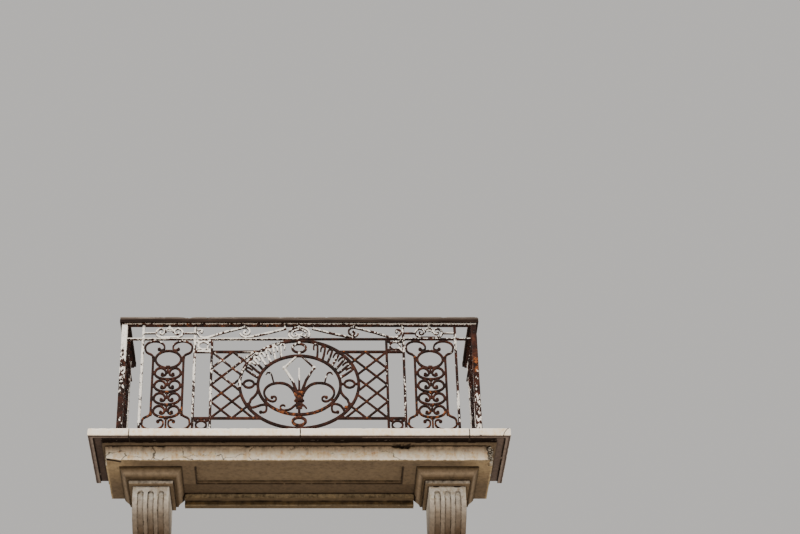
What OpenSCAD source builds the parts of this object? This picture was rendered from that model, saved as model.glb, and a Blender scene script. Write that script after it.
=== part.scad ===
// Town house balcony: a moulded stone slab on two fluted consoles, with a wrought iron
// railing under a timber handrail. The wall is the plane y = 0 and the balcony stands out
// towards -Y. The height is zero at the middle of the slab's moulded body.

/* [Stone slab] */
// Length of the floor stones along the wall
floor_w = 3000; // [2990:5:3020]
// How far the floor stones stand out from the wall
floor_d = 700; // [695:1:710]
// Thickness of the floor stones
floor_t = 65; // [60:1:75]
// Height of the moulded body below them
body_h = 130; // [126:1:140]
// How far the soffit edge is set back from the floor stones' edge
soffit_set = 122; // [116:1:130]
// Length of the sunk panel in the soffit
coffer_w = 1480; // [1300:10:1560]
// Depth of the sunk panel into the stone
coffer_t = 26; // [16:1:32]

/* [Brackets] */
// Distance from the middle of the slab to each bracket
bracket_x = 1060; // [1040:5:1080]
// Width of the fluted bracket
bracket_w = 262; // [250:1:275]
// How far its upright face stands out from the wall
bracket_d = 372; // [360:1:385]
// Height of the bracket below its capital
bracket_h = 500; // [470:5:560]
// Number of flutes on its face
flute_n = 3; // [2, 3]

/* [Railing] */
// Height of the handrail's top above the floor
rail_h = 1000; // [990:5:1010]
// Distance from the middle to each corner post
post_x = 1290; // [1280:1:1300]
// Distance of the railing's plane from the wall
rail_d = 590; // [575:1:600]
// Side of the square corner posts
post_w = 40; // [36:1:44]
// Width of the timber handrail
timber_w = 74; // [66:1:84]
// Height of the timber handrail
timber_h = 50; // [44:1:56]
// Width of the iron flat under the timber
flat_w = 42; // [36:1:50]
// Thickness of the iron flat
flat_t = 10; // [8:1:12]
// Side of the square upright bars
upright_w = 18; // [16:1:20]
// Width of the forged scroll bars, seen from the front
scroll_w = 15; // [13:0.5:16]
// Depth of the forged scroll bars, from front to back
scroll_d = 16; // [14:0.5:17]

/* [Hidden] */

floor_z = body_h / 2 + floor_t;
soffit_z = -body_h / 2;
half_w = floor_w / 2;

// Joints between the floor stones, from the middle of the slab
joint_x = 1207;
middle_joint_x = 8;

// Drip throat in the underside of the floor stones: where it starts, ends, and its depth
throat_set = 36;
throat_t = 18;

// Moulded body: a small bead under the throat, a narrow groove and a tall plain face
bead_set = 92;
bead_r = 16;
groove_w = 8;
groove_h = 6;
face_set = 110;

// Section of the moulded body: [set back from the floor stones' edge, height]
body_section = concat(
    [for (a = [0 : 15 : 90]) [bead_set + bead_r * (1 - cos(a)), body_h / 2 - bead_r * sin(a)]],
    [[bead_set + bead_r + groove_w, body_h / 2 - bead_r],
     [bead_set + bead_r + groove_w, body_h / 2 - bead_r - groove_h],
     [face_set, body_h / 2 - bead_r - groove_h], [soffit_set, -body_h / 2]]);

// Sunk panel in the soffit, in depth from the wall
coffer_y0 = 228;
coffer_y1 = 480;

// Capital of a bracket: widths, standing-out and heights of its two parts
cyma_top = [445, 490];
cyma_foot = [353, 432];
cyma_h = 69;
fillet = [317, 414];
fillet_h = 28;
capital_foot_z = soffit_z - cyma_h - fillet_h;

// Bracket: upright part of its face, standing-out at its foot and the flutes
bracket_face_h = 145;
bracket_toe = 70;
flute_w = 44;
flute_gap = 29;
flute_t = 15;
flute_top = 34;

// Bed moulding under the slab at the wall: height of both steps, and how far each stands out
bed_h = 80;
bed_d = 88;
bed_step_d = 46;

// Railing heights, above the floor
flat_z = rail_h - timber_h - flat_t;
frieze_z = 820;
top_bar_z = 709.5;
bottom_bar_z = 143.5;
foot_rail_z = 28;
rail_bar_w = 26;
rail_bar_t = 8;

// Railing places across the front, from the middle
upright_1 = 1150;
upright_2 = 767;
upright_3 = 642;
column_x = (upright_1 + upright_2) / 2;
column_half = (upright_1 - upright_2) / 2 - upright_w / 2;
block_x = (upright_2 + upright_3) / 2;
block_half = (upright_2 - upright_3) / 2 - upright_w / 2;

// Free height of the railing between the foot rail and the frieze rail
panel_low = foot_rail_z + rail_bar_t / 2;
panel_high = frieze_z - rail_bar_t / 2;
frieze_low = frieze_z + rail_bar_t / 2;

// Thinner forged bars: the column's ends, the frieze, and the short ties between bars
end_w = 13;
frieze_w = 14;
tie_w = 11;

// Scroll column: inner bars, oval ring and stacked scroll units
inner_bar_x = 111.5;
inner_bar_low = 165;
inner_bar_high = 658;
ring_z = 644;
ring_r = [93, 74];
unit_z = 522;
unit_step = 107.5;
unit_n = 4;
unit_r = [93, 48];

// Medallion: the two ovals and the small rings between them
oval_z = 433;
oval_r = [433, 372.5];
inner_z = 425;
inner_r = [300, 250];
oval_w = 21;
side_ring_x = 366;
side_ring_r = [37, 31];
top_ring_z = 742;
top_ring_r = [50, 37];
top_ring_w = 16;
bottom_ring_z = 118;
bottom_ring_r = [46, 32];
bottom_ring_w = 20;
finger_n = 7;
finger_low = 20.5;
finger_step = 8.5;
finger_lean = 7;
finger_crook = 14;
finger_w = 14;

// Lattice: half the distance between crossings, across and up
lattice_dx = 78;
lattice_dz = (top_bar_z - bottom_bar_z) / 8;
lattice_x0 = 300;
lattice_x1 = upright_3 - upright_w / 2;
lattice_w = 14;

// Side panels: middle of the scroll column
side_y = -(rail_d - post_w / 2) / 2;

stone_light = "#ddd0c0";
stone_brown = "#8d7c68";
stone_grey = "#a0968a";
timber_brown = "#4a3f3a";
iron_rust = "#5a3226";
iron_white = "#b9b0a6";

// Points of an arc of an oval, in n steps
function arc(c, rx, rz, a0, a1, n) =
    [for (i = [0 : n]) let (a = a0 + (a1 - a0) * i / n) c + [rx * cos(a), rz * sin(a)]];

// Points of a scroll end that tightens from radius r0 to r1, faster at first where p is over 1
function curl(c, r0, r1, a0, a1, n, p = 1.6) =
    [for (i = [0 : n]) let (t = i / n, a = a0 + (a1 - a0) * t, r = r1 + (r0 - r1) * pow(1 - t, p))
        c + r * [cos(a), sin(a)]];

// Points of a smooth sweep between p0 and p3, drawn towards p1 and p2
function sweep(p0, p1, p2, p3, n) =
    [for (i = [0 : n]) let (t = i / n, s = 1 - t)
        s * s * s * p0 + 3 * s * s * t * p1 + 3 * s * t * t * p2 + t * t * t * p3];

function unit_vec(v) = v / norm(v);
function side_of(pts, i) =
    let (a = pts[max(i - 1, 0)], b = pts[min(i + 1, len(pts) - 1)], d = unit_vec(b - a)) [-d[1], d[0]];

// A flat bar that follows the points, w wide at its start and w_end at its end
module bar(pts, w = scroll_w, w_end = 0) {
    n = len(pts) - 1;
    tip = w_end > 0 ? w_end : w;
    polygon(concat(
        [for (i = [0 : n]) pts[i] + side_of(pts, i) * (w + (tip - w) * i / n) / 2],
        [for (i = [n : -1 : 0]) pts[i] - side_of(pts, i) * (w + (tip - w) * i / n) / 2]));
}

module knob(c, r) translate(c) circle(r = r, $fn = 20);

module both_sides() {
    children();
    mirror([1, 0]) children();
}

module oval(c, r) translate(c) scale([r[0], r[1]]) circle(r = 1, $fn = 96);

module oval_ring(c, r, w) {
    difference() {
        oval(c, [r[0] + w / 2, r[1] + w / 2]);
        oval(c, [r[0] - w / 2, r[1] - w / 2]);
    }
}

module small_ring(c, r, w) {
    polygon(concat(arc(c, r[0] + w / 2, r[1] + w / 2, 0, 360, 32),
                   arc(c, r[0] - w / 2, r[1] - w / 2, 360, 0, 32)));
}

// Stands a front drawing up in the railing's front plane, with its depth centred there
module front_plane(depth) {
    translate([0, -rail_d + depth / 2, floor_z]) rotate([90, 0, 0])
        linear_extrude(depth) offset(delta = 0) children();
}

// Stands a drawing up in a side panel; side is -1 on the left and 1 on the right
module side_plane(side, depth) {
    translate([side * post_x - depth / 2, side_y, floor_z]) rotate([90, 0, 90])
        linear_extrude(depth) offset(delta = 0) children();
}

// Cap stones, with a worn round nose along the outer edges
module cap_shape() {
    hull() {
        translate([-half_w, -floor_d, body_h / 2 + 6]) cube([floor_w, floor_d, floor_t - 12]);
        translate([-half_w + 6, -floor_d + 6, body_h / 2]) cube([floor_w - 12, floor_d - 6, floor_t]);
    }
}

// A groove that throws the rain off, along the front and both ends
module throat() {
    translate([0, 0, body_h / 2 - 1]) difference() {
        translate([-half_w + throat_set, -floor_d + throat_set, 0])
            cube([floor_w - 2 * throat_set, floor_d, throat_t + 1]);
        translate([-half_w + bead_set, -floor_d + bead_set, -1])
            cube([floor_w - 2 * bead_set, floor_d, throat_t + 3]);
    }
}

module cap_stone(x0, x1) {
    color(stone_light) difference() {
        intersection() {
            cap_shape();
            translate([x0, -floor_d - 1, body_h / 2 - 1]) cube([x1 - x0, floor_d + 1, floor_t + 2]);
        }
        throat();
    }
}

module cap_stone_left_corner() cap_stone(-half_w - 1, -joint_x);
module cap_stone_left() cap_stone(-joint_x, middle_joint_x);
module cap_stone_right() cap_stone(middle_joint_x, joint_x);
module cap_stone_right_corner() cap_stone(joint_x, half_w + 1);

// Moulded body of the slab: the same section runs along the front and both ends
module body_front() {
    rotate([90, 0, 90]) translate([0, 0, -half_w]) linear_extrude(floor_w)
        polygon(concat([[0, body_h / 2]], [for (p = body_section) [-floor_d + p[0], p[1]]],
                       [[0, -body_h / 2]]));
}

module body_ends() {
    rotate([90, 0, 0]) linear_extrude(floor_d) polygon(concat(
        [for (p = body_section) [half_w - p[0], p[1]]],
        [for (i = [len(body_section) - 1 : -1 : 0]) [-half_w + body_section[i][0], body_section[i][1]]]));
}

module balcony_slab() {
    color(stone_brown) difference() {
        intersection() {
            body_front();
            body_ends();
        }
        translate([-coffer_w / 2, -coffer_y1, soffit_z - 1])
            cube([coffer_w, coffer_y1 - coffer_y0, coffer_t + 1]);
    }
}

// Two-step bed moulding along the wall, between the capitals
bed_half = bracket_x - cyma_top[0] / 2;

module wall_bed_moulding() {
    color(stone_brown) translate([-bed_half, 0, soffit_z]) rotate([90, 0, 90]) linear_extrude(2 * bed_half)
        polygon([[0, 0], [-bed_d, 0], [-bed_d, -bed_h / 2], [-bed_step_d, -bed_h / 2 - 3],
                 [-bed_step_d + 2, -bed_h], [0, -bed_h]]);
}

// Capital of a bracket: a cyma that widens upwards over a plain fillet
cyma_steps = 8;
function cyma_at(t) = let (s = t - sin(360 * t) / (2 * PI) * 0.8)
    [cyma_foot[0] + (cyma_top[0] - cyma_foot[0]) * s, cyma_foot[1] + (cyma_top[1] - cyma_foot[1]) * s];

module cyma_section(k) {
    polygon(concat([for (i = [0 : cyma_steps]) [cyma_at(i / cyma_steps)[k], cyma_h * i / cyma_steps]],
                   [[0, cyma_h], [0, 0]]));
}

module bracket_capital(side) {
    color(stone_grey) translate([side * bracket_x, 0, capital_foot_z]) {
        translate([-fillet[0] / 2, -fillet[1], 0]) cube([fillet[0], fillet[1], fillet_h]);
        translate([0, 0, fillet_h]) intersection() {
            rotate([90, 0, 0]) linear_extrude(cyma_top[1]) polygon(concat(
                [for (i = [0 : cyma_steps]) [cyma_at(i / cyma_steps)[0] / 2, cyma_h * i / cyma_steps]],
                [for (i = [cyma_steps : -1 : 0]) [-cyma_at(i / cyma_steps)[0] / 2, cyma_h * i / cyma_steps]]));
            translate([-cyma_top[0] / 2, 0, 0]) rotate([90, 0, 90]) linear_extrude(cyma_top[0])
                mirror([1, 0]) cyma_section(1);
        }
    }
}

module left_bracket_capital() bracket_capital(-1);
module right_bracket_capital() bracket_capital(1);

// Fluted console: an upright face, then a hollow sweep back to the wall
bracket_foot_z = capital_foot_z - bracket_h;
bracket_side = concat(
    [[0, capital_foot_z], [-bracket_d, capital_foot_z], [-bracket_d, capital_foot_z - bracket_face_h]],
    sweep([-bracket_d, capital_foot_z - bracket_face_h],
          [-bracket_d + 20, capital_foot_z - bracket_face_h - 120],
          [-bracket_toe - 60, bracket_foot_z + 210], [-bracket_toe, bracket_foot_z + 20], 12),
    [[-bracket_toe, bracket_foot_z], [0, bracket_foot_z]]);

module flute_cut(x) {
    translate([x, -bracket_d - 1, 0]) {
        translate([-flute_w / 2, 0, bracket_foot_z - 1])
            cube([flute_w, bracket_d - bracket_toe + flute_t + 1, bracket_h - flute_top - flute_w / 2 + 1]);
        translate([0, 0, capital_foot_z - flute_top - flute_w / 2]) rotate([-90, 0, 0])
            cylinder(r = flute_w / 2, h = bracket_d - bracket_toe + flute_t + 1, $fn = 32);
    }
}

module bracket_body(side) {
    rotate([90, 0, 90]) translate([0, 0, side * bracket_x - bracket_w / 2]) linear_extrude(bracket_w)
        polygon(bracket_side);
}

// The same side outline, moved in by the flutes' depth, fills the flutes behind their floor
module flute_floor(side) {
    rotate([90, 0, 90]) translate([0, 0, side * bracket_x - bracket_w / 2 + 1]) linear_extrude(bracket_w - 2)
        polygon([for (p = bracket_side) [min(p[0] + flute_t, 0), p[1]]]);
}

module bracket(side) {
    color(stone_grey) union() {
        difference() {
            bracket_body(side);
            for (i = [0 : flute_n - 1])
                flute_cut(side * bracket_x + (i - (flute_n - 1) / 2) * (flute_w + flute_gap));
        }
        flute_floor(side);
    }
}

module left_bracket() bracket(-1);
module right_bracket() bracket(1);

// Timber handrail: square section with softened upper edges, mitred at the corners
module timber_section() {
    r = 12;
    hull() {
        translate([-timber_w / 2, 0]) square([timber_w, timber_h / 2]);
        for (s = [-1, 1]) translate([s * (timber_w / 2 - r), timber_h - r]) circle(r = r, $fn = 24);
    }
}

module timber_bar(length) {
    rotate([90, 0, 90]) translate([0, 0, -length / 2]) linear_extrude(length) offset(delta = 0) timber_section();
}

timber_z = floor_z + rail_h - timber_h;

module front_mitre() {
    translate([0, 0, timber_z - 20]) linear_extrude(timber_h + 40)
        polygon([[-post_x - 200, -rail_d - 200], [post_x + 200, -rail_d - 200],
                 [post_x - 300, -rail_d + 300], [-post_x + 300, -rail_d + 300]]);
}

module handrail_front() {
    color(timber_brown) intersection() {
        translate([0, -rail_d, timber_z]) timber_bar(2 * post_x + timber_w);
        front_mitre();
    }
}

module handrail_side(side) {
    color(timber_brown) difference() {
        translate([side * post_x, -(rail_d + timber_w / 2) / 2, timber_z]) rotate([0, 0, 90])
            timber_bar(rail_d + timber_w / 2);
        front_mitre();
    }
}

module handrail_left() handrail_side(-1);
module handrail_right() handrail_side(1);

// Iron flats under the timber
module handrail_flat_front() {
    color(iron_rust) translate([-post_x - flat_w / 2, -rail_d - flat_w / 2, floor_z + flat_z])
        cube([2 * post_x + flat_w, flat_w, flat_t]);
}

module handrail_flat_side(side) {
    color(iron_rust) translate([side * post_x - flat_w / 2, -rail_d + flat_w / 2, floor_z + flat_z])
        cube([flat_w, rail_d - flat_w / 2, flat_t]);
}

module handrail_flat_left() handrail_flat_side(-1);
module handrail_flat_right() handrail_flat_side(1);

// Square corner posts
module corner_post(side) {
    color(iron_white) translate([side * post_x - post_w / 2, -rail_d - post_w / 2, floor_z])
        cube([post_w, post_w, flat_z]);
}

module corner_post_left() corner_post(-1);
module corner_post_right() corner_post(1);

// Flat rails, pierced where the uprights pass through them
module front_rail(z, xs) {
    difference() {
        translate([-post_x + post_w / 2, -rail_d - rail_bar_w / 2, floor_z + z - rail_bar_t / 2])
            cube([2 * post_x - post_w, rail_bar_w, rail_bar_t]);
        for (x = xs) for (side = [-1, 1])
            translate([side * x - upright_w / 2, -rail_d - upright_w / 2, floor_z + z - rail_bar_t])
                cube([upright_w, upright_w, 2 * rail_bar_t]);
    }
}

module front_rails() {
    color(iron_white) {
        front_rail(frieze_z, [upright_1, upright_2]);
        front_rail(foot_rail_z, [upright_1, upright_2, upright_3]);
    }
}

side_bar_y = [side_y - column_half - upright_w / 2, side_y + column_half + upright_w / 2];

// The side rails run back from the corner post and are let into the wall
module side_rail(side, z) {
    difference() {
        translate([side * post_x - rail_bar_w / 2, -rail_d + post_w / 2, floor_z + z - rail_bar_t / 2])
            cube([rail_bar_w, rail_d - post_w / 2, rail_bar_t]);
        for (y = side_bar_y)
            translate([side * post_x - upright_w / 2, y - upright_w / 2, floor_z + z - rail_bar_t])
                cube([upright_w, upright_w, 2 * rail_bar_t]);
    }
}

module side_rails(side) {
    color(iron_rust) {
        side_rail(side, frieze_z);
        side_rail(side, foot_rail_z);
    }
}

module left_side_rails() side_rails(-1);
module right_side_rails() side_rails(1);

// Upright bars: two run up to the handrail flat, the inner one stops under the frieze rail
module upright(x, y, top) {
    translate([x - upright_w / 2, y - upright_w / 2, floor_z]) cube([upright_w, upright_w, top]);
}

module front_uprights(side) {
    color(iron_white) {
        upright(side * upright_1, -rail_d, flat_z);
        upright(side * upright_2, -rail_d, flat_z);
        upright(side * upright_3, -rail_d, frieze_z - rail_bar_t / 2);
    }
}

module front_uprights_left() front_uprights(-1);
module front_uprights_right() front_uprights(1);

module side_uprights(side) {
    color(iron_white) for (y = side_bar_y) upright(side * post_x, y, flat_z);
}

module side_uprights_left() side_uprights(-1);
module side_uprights_right() side_uprights(1);

// Frieze ornament over a scroll column: two facing scrolls, a small arch and stub bars
frieze_stub_z = 872;

module frieze_ornament() {
    both_sides() {
        bar(concat([[0, 835]], arc([54, 874], 44, 39, -90, 62, 12), curl([60, 878], 36, 9, 76, 385, 18)),
            frieze_w, 9);
        knob([67, 880], 8);
        bar([[96, frieze_stub_z], [column_half, frieze_stub_z]], tie_w);
    }
    bar(arc([0, 890], 27, 24, -22, 202, 14), 11);
    bar([[0, 912], [0, flat_z]], tie_w);
    bar([[0, 838], [0, frieze_low]], tie_w);
}

// Long frieze scrolls between the upright and the middle of the front
module frieze_scrolls_shape() {
    bar(concat([[676, 834], [704, 831], [728, 841]], curl([725, 885], 34, 10, -60, 230, 16)), frieze_w, 9);
    knob([721, 882], 9);
    bar(concat([[704, 830], [676, 834], [560, 878]], curl([397, 880], 45, 9, 80, 455, 24)), frieze_w, 10);
    knob([402, 888], 10);
    bar(concat(sweep([437, 872], [430, 842], [395, 834], [352, 842], 8), [[250, 868], [96, 913]]),
        tie_w, frieze_w);
    bar([[395, frieze_low], [395, 844]], tie_w);
    bar([[404, 918], [404, flat_z]], tie_w);
    bar([[106, 908], [106, flat_z]], tie_w);
}

module frieze_scrolls(side) {
    color(iron_white) front_plane(scroll_d) scale([side, 1]) {
        frieze_scrolls_shape();
        translate([column_x, 0]) frieze_ornament();
    }
}

module frieze_scrolls_left() frieze_scrolls(-1);
module frieze_scrolls_right() frieze_scrolls(1);

// Double arch at the middle of the frieze, with two small scrolls inside it
module frieze_centre_scroll() {
    color(iron_white) front_plane(scroll_d) {
        both_sides() {
            bar(concat(arc([0, 866], 77, 58, 90, -35, 14), [[46, frieze_low]]), frieze_w);
            bar(concat(arc([0, 860], 54, 44, 90, 20, 8), curl([29, 860], 26, 9, 5, -280, 14)), tie_w, 9);
        }
        bar([[0, 900], [0, flat_z]], tie_w);
        bar([[0, 850], [0, frieze_low]], tie_w);
        bar([[-20, 856], [20, 856]], tie_w);
    }
}

// One stacked unit of a scroll column: a bowl whose sides turn over and in to two knobbed scrolls
unit_crown = [40, 43];

module scroll_unit() {
    both_sides() {
        bar(concat(arc([0, 0], unit_r[0], unit_r[1], -92, -12, 10),
                   arc([unit_r[0] - unit_crown[0], 4], unit_crown[0], unit_crown[1], 0, 168, 14),
                   curl([34, 0], 21, 17, 190, 325, 6)),
            scroll_w, end_w);
        knob([39, -5], 11);
        bar([[unit_r[0], 0], [inner_bar_x, 0]], tie_w);
    }
    bar([[0, unit_step - unit_r[1]], [0, 2]], tie_w);
}

// End scroll of a column: it starts on the inner bar, swings out and over, and ends in a hook
module column_end(c, r, hook) {
    bar(concat(sweep([inner_bar_x, inner_bar_high - 8], [inner_bar_x, 704], [158, 680], [170, 722], 8),
               arc(c, r[0], r[1], -12, 180, 16), hook),
        end_w, 10);
    bar([[172, c[1]], [column_half, c[1]]], tie_w);
    bar([[c[0], c[1] + r[1]], [c[0], panel_high]], tie_w);
}

// The foot of the column is its head turned over, with its scrolls closer to the axis
column_turn = panel_low + panel_high;

module scroll_column_shape() {
    both_sides() {
        bar([[inner_bar_x, inner_bar_low], [inner_bar_x, inner_bar_high]], scroll_w);
        column_end([102, 748], [71, 53], curl([59, 742], 28, 14, 190, 320, 7));
        knob([70, 732], 12);
        translate([0, column_turn]) mirror([0, 1]) {
            column_end([95, 750], [77, 51], curl([44, 735], 25, 13, 190, 345, 8));
            knob([56, 731], 12);
        }
        bar([[ring_r[0], ring_z], [inner_bar_x, ring_z]], tie_w);
        bar([[60, 722], [56, 698]], tie_w);
    }
    small_ring([0, ring_z], ring_r, scroll_w);
    for (i = [0 : unit_n - 1]) translate([0, unit_z - i * unit_step]) scroll_unit();
    bar([[0, unit_z - (unit_n - 1) * unit_step - unit_r[1]], [0, panel_low]], tie_w);
}

module scroll_column(side) {
    color(iron_rust) front_plane(scroll_d) translate([side * column_x, 0]) scroll_column_shape();
}

module scroll_column_left() scroll_column(-1);
module scroll_column_right() scroll_column(1);

// Small square blocks with a ring and four leaves, above and below the narrow empty bay
block_ring_r = [38, 34];

module ring_block(low, high) {
    mid = (low + high) / 2;
    small_ring([0, mid], block_ring_r, end_w);
    for (sx = [-1, 1]) for (sz = [-1, 1])
        bar([[sx * 28, mid + sz * 25], [sx * (block_half + 2), mid + sz * ((high - low) / 2 - 6)]],
            end_w, 26);
}

module ring_blocks(side) {
    color(iron_white) front_plane(scroll_d) translate([side * block_x, 0]) intersection() {
        union() {
            ring_block(top_bar_z, panel_high);
            ring_block(panel_low, bottom_bar_z);
            for (z = [top_bar_z, bottom_bar_z]) bar([[-block_half - 9, z], [block_half + 9, z]], upright_w);
        }
        translate([-block_half, panel_low]) square([2 * block_half, panel_high - panel_low]);
    }
}

module ring_blocks_left() ring_blocks(-1);
module ring_blocks_right() ring_blocks(1);

// Diagonal lattice between the inner upright and the big oval, with its two level bars
module lattice_shape() {
    difference() {
        intersection() {
            union() {
                for (k = [-8 : 8]) for (s = [-1, 1])
                    bar([[upright_3 + lattice_dx, bottom_bar_z + (2 * k - s) * lattice_dz],
                         [upright_3 - 5 * lattice_dx, bottom_bar_z + (2 * k + 5 * s) * lattice_dz]],
                        lattice_w);
                for (z = [bottom_bar_z, top_bar_z])
                    bar([[lattice_x0 - 60, z], [lattice_x1 + 9, z]], upright_w);
            }
            translate([lattice_x0 - 60, bottom_bar_z - upright_w / 2])
                square([lattice_x1 - lattice_x0 + 60, top_bar_z - bottom_bar_z + upright_w]);
        }
        oval([0, oval_z], [oval_r[0] + oval_w / 2, oval_r[1] + oval_w / 2]);
    }
}

module lattice(side) {
    color(iron_rust) front_plane(scroll_d) scale([side, 1]) lattice_shape();
}

module lattice_left() lattice(-1);
module lattice_right() lattice(1);

// Medallion
module medallion_outer_ring() {
    color(iron_rust) front_plane(scroll_d + 2) {
        oval_ring([0, oval_z], oval_r, oval_w);
        bar([[0, oval_z - oval_r[1]], [0, panel_low]], scroll_w);
    }
}

module medallion_inner_ring() {
    color(iron_rust) front_plane(scroll_d + 2) oval_ring([0, inner_z], inner_r, oval_w);
}

module medallion_small_rings() {
    color(iron_rust) front_plane(scroll_d) {
        small_ring([0, top_ring_z], top_ring_r, top_ring_w);
        small_ring([0, bottom_ring_z], bottom_ring_r, bottom_ring_w);
        both_sides() small_ring([side_ring_x, oval_z], side_ring_r, scroll_w);
    }
}

function on_oval(a, c, r) = [r[0] * cos(a), c + r[1] * sin(a)];

// A cane that leans out from the inner oval, touches the outer one and hooks back towards the top
module finger(a) {
    start = on_oval(a - finger_lean, inner_z, inner_r);
    end = on_oval(a, oval_z, oval_r);
    out = unit_vec(end - start);
    over = [-out[1], out[0]];
    c = end + over * finger_crook - out * (finger_crook + (finger_w + oval_w) / 2 - 5);
    leg = c - over * finger_crook;
    bar(concat(sweep(start, start + out * 24 - over * 5, leg - out * 30 - over * 2, leg - out * 9, 4),
               [for (t = [0 : 36 : 180]) c + finger_crook * (out * sin(t) - over * cos(t))],
               [c + over * (finger_crook + 1) - out * 16, c + over * (finger_crook - 2) - out * 34]),
        finger_w, 8);
}

// Link bars from the ovals to the small rings between them
module ring_links() {
    both_sides() {
        bar([[inner_r[0], oval_z], [side_ring_x - side_ring_r[0], oval_z]], scroll_w);
        bar([[side_ring_x + side_ring_r[0], oval_z], [oval_r[0], oval_z]], scroll_w);
    }
    bar([[0, inner_z + inner_r[1]], [0, top_ring_z - top_ring_r[1]]], scroll_w);
    bar([[0, top_ring_z + top_ring_r[1]], [0, oval_z + oval_r[1]]], scroll_w);
    bar([[0, oval_z - oval_r[1]], [0, bottom_ring_z - bottom_ring_r[1]]], scroll_w);
    bar([[0, bottom_ring_z + bottom_ring_r[1]], [0, inner_z - inner_r[1]]], scroll_w);
}

// Scroll under each side ring, with a small hook below it
module lower_scroll_start() {
    bar(concat(sweep([300, 385], [304, 335], [340, 318], [352, 296], 8), arc([336, 262], 25, 30, 45, -80, 8)),
        scroll_w, end_w);
    bar([[361, 266], [oval_r[0] * 0.9, 266]], tie_w);
}

module lower_hook() {
    bar(concat([[242, 262]], sweep([236, 244], [232, 196], [244, 190], [276, 194], 8)), end_w, 10);
    knob([277, 195], 11);
}

module medallion_scrolls_shape() {
    both_sides() {
        for (i = [0 : finger_n - 1]) finger(finger_low + i * finger_step);
        lower_scroll_start();
        lower_hook();
    }
    mirror([1, 0]) bar(sweep([338, 233], [310, 236], [280, 262], [240, 258], 6), end_w);
    knob([338, 234], 12);
    bar(sweep([240, 262], [290, 272], [318, 240], [330, 186], 8), end_w);
    ring_links();
}

module medallion_scrolls() {
    color(iron_rust) front_plane(scroll_d - 2) difference() {
        intersection() {
            medallion_scrolls_shape();
            oval([0, oval_z], [oval_r[0] - oval_w / 2, oval_r[1] - oval_w / 2]);
        }
        oval([0, inner_z], [inner_r[0] + oval_w / 2, inner_r[1] + oval_w / 2]);
        oval([0, top_ring_z], top_ring_r);
        oval([0, bottom_ring_z], bottom_ring_r);
        both_sides() oval([side_ring_x, oval_z], side_ring_r);
    }
}

// Fleur in the middle: a kite and spike above a collar, two big side scrolls and a stem.
// The lower scroll is whole on the left and broken off on the right
collar_z = [290, 368];
collar_d = 32;

module fleur_shape() {
    both_sides() {
        bar([[12, 678], [109, 571]], tie_w);
        bar([[109, 571], [50, 464], [12, 345]], tie_w, 24);
        knob([109, 571], 12);
        bar(concat(sweep([20, 318], [36, 392], [78, 441], [139, 441], 10),
                   arc([150, 358], 104, 83, 88, -56, 18),
                   curl([186, 312], 31, 13, -54, -330, 14)), 20, 11);
        knob([197, 319], 11);
        bar([[224, 304], [266, 290]], scroll_w);
        bar(concat(sweep([182, 430], [192, 470], [196, 498], [204, 517], 6), arc([223, 514], 19, 17, 165, 0, 6)),
            tie_w, 8);
    }
    bar([[0, 568], [0, 345]], 9, 16);
    bar([[0, collar_z[0]], [0, 224]], 52, 44);
    bar([[0, 230], [0, inner_z - inner_r[1]]], 18);
    mirror([1, 0]) bar(concat(sweep([14, 262], [40, 254], [54, 210], [96, 211], 6),
                              curl([115, 238], 29, 14, -100, 160, 12)), scroll_w, 10);
    mirror([1, 0]) bar([[112, 212], [112, 190]], tie_w);
    bar(sweep([14, 262], [32, 256], [46, 240], [54, 224], 5), scroll_w, 9);
}

// Collar round the bundle: two bands with a plain drum between them
module collar_shape() {
    translate([-38, collar_z[1] - 32]) square([76, 32]);
    translate([-30, collar_z[0]]) square([60, collar_z[1] - collar_z[0] - 20]);
    translate([-38, collar_z[0] - 8]) square([76, 18]);
}

module fleur_ornament() {
    color(iron_rust) front_plane(scroll_d) difference() {
        intersection() {
            fleur_shape();
            oval([0, inner_z], [inner_r[0] - oval_w / 2, inner_r[1] - oval_w / 2]);
        }
        collar_shape();
    }
}

module fleur_collar() {
    color(iron_rust) front_plane(collar_d) collar_shape();
}

// Side panels repeat the scroll column and its frieze ornament
module side_panel(side) {
    color(iron_rust) side_plane(side, scroll_d) {
        scroll_column_shape();
        frieze_ornament();
    }
}

module left_side_panel() side_panel(-1);
module right_side_panel() side_panel(1);

cap_stone_left_corner();
cap_stone_left();
cap_stone_right();
cap_stone_right_corner();
balcony_slab();
wall_bed_moulding();
left_bracket_capital();
right_bracket_capital();
left_bracket();
right_bracket();
handrail_front();
handrail_left();
handrail_right();
handrail_flat_front();
handrail_flat_left();
handrail_flat_right();
corner_post_left();
corner_post_right();
front_rails();
left_side_rails();
right_side_rails();
front_uprights_left();
front_uprights_right();
side_uprights_left();
side_uprights_right();
frieze_scrolls_left();
frieze_scrolls_right();
frieze_centre_scroll();
scroll_column_left();
scroll_column_right();
ring_blocks_left();
ring_blocks_right();
lattice_left();
lattice_right();
medallion_outer_ring();
medallion_inner_ring();
medallion_small_rings();
medallion_scrolls();
fleur_ornament();
fleur_collar();
left_side_panel();
right_side_panel();
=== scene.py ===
import math
import random

import bmesh
import bpy
from mathutils import Matrix, Vector, noise


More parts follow.
